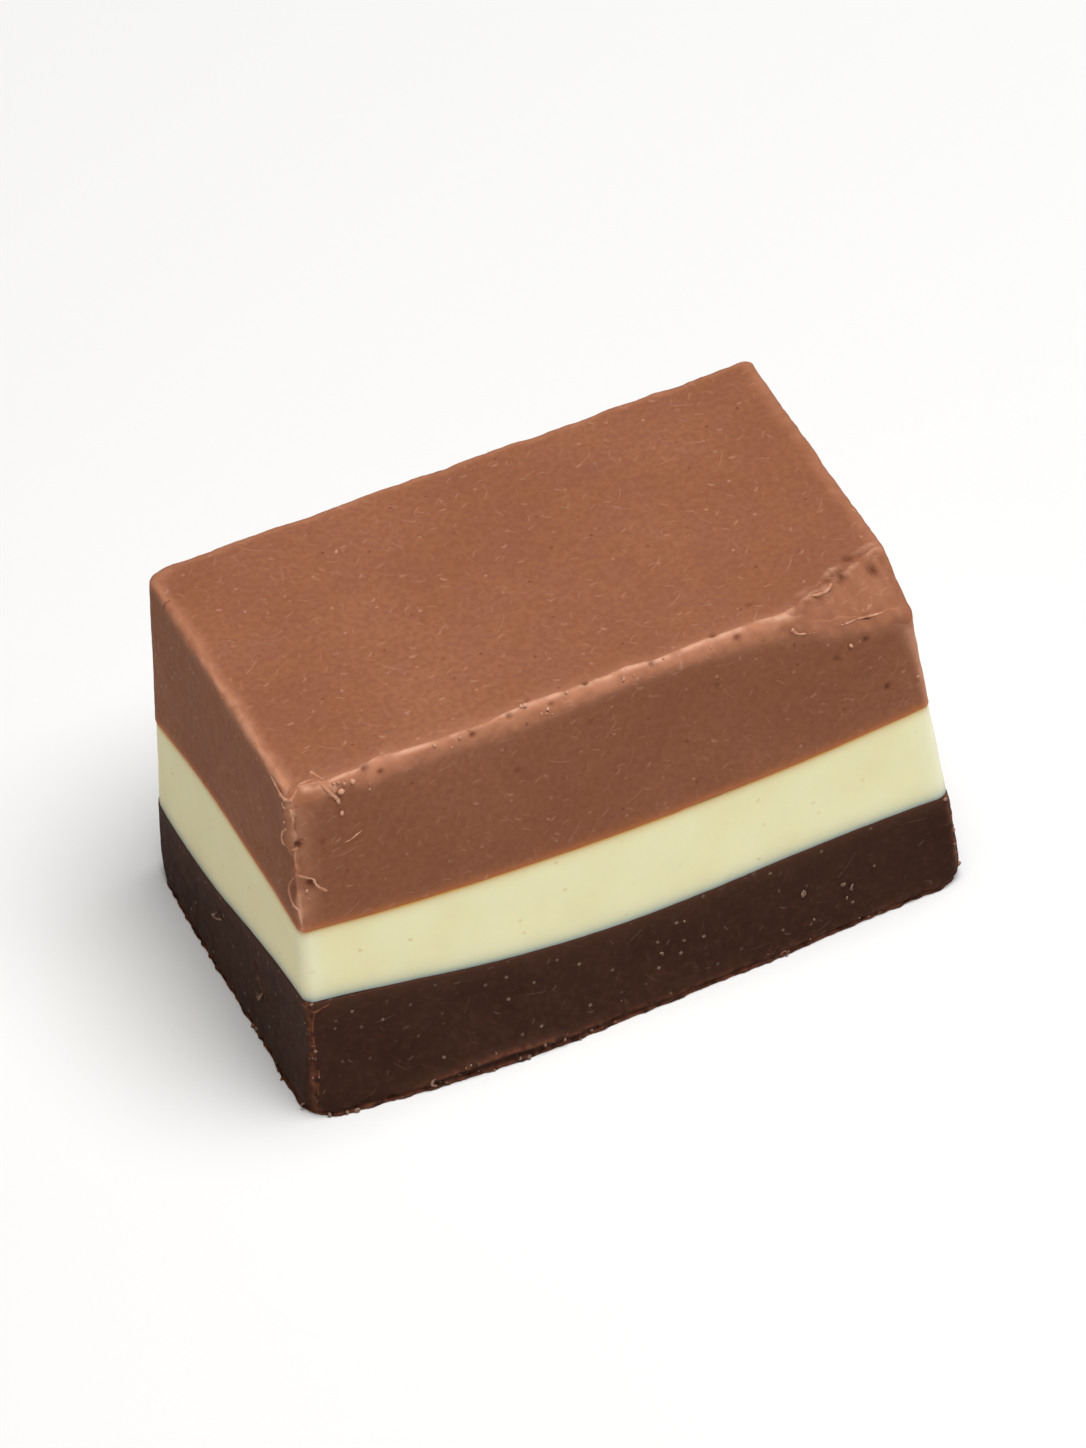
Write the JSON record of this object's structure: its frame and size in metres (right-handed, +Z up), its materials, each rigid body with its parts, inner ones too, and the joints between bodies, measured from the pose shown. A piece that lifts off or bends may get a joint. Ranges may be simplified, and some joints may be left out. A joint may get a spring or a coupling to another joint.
{
  "type": "layered nougat block",
  "caption": "Oblong block of layered nougat, milk-brown over white over dark, slightly tapered, with worn and crumbly edges, lying on its dark face.",
  "frame": {"origin": "middle of the underside, which is the flat dark face that the block rests on", "axes": "+X along the long side, +Y from the front to the back across the block, +Z up through the layers"},
  "size_m": [0.0304, 0.0194, 0.0168],
  "materials": {
    "dark_nougat": "satin",
    "white_nougat": "satin",
    "milk_nougat": "satin"
  },
  "bodies": {
    "root": {"dark_nougat_layer": "dark_nougat", "white_nougat_layer": "white_nougat", "milk_nougat_layer": "milk_nougat"}
  },
  "joints": []
}
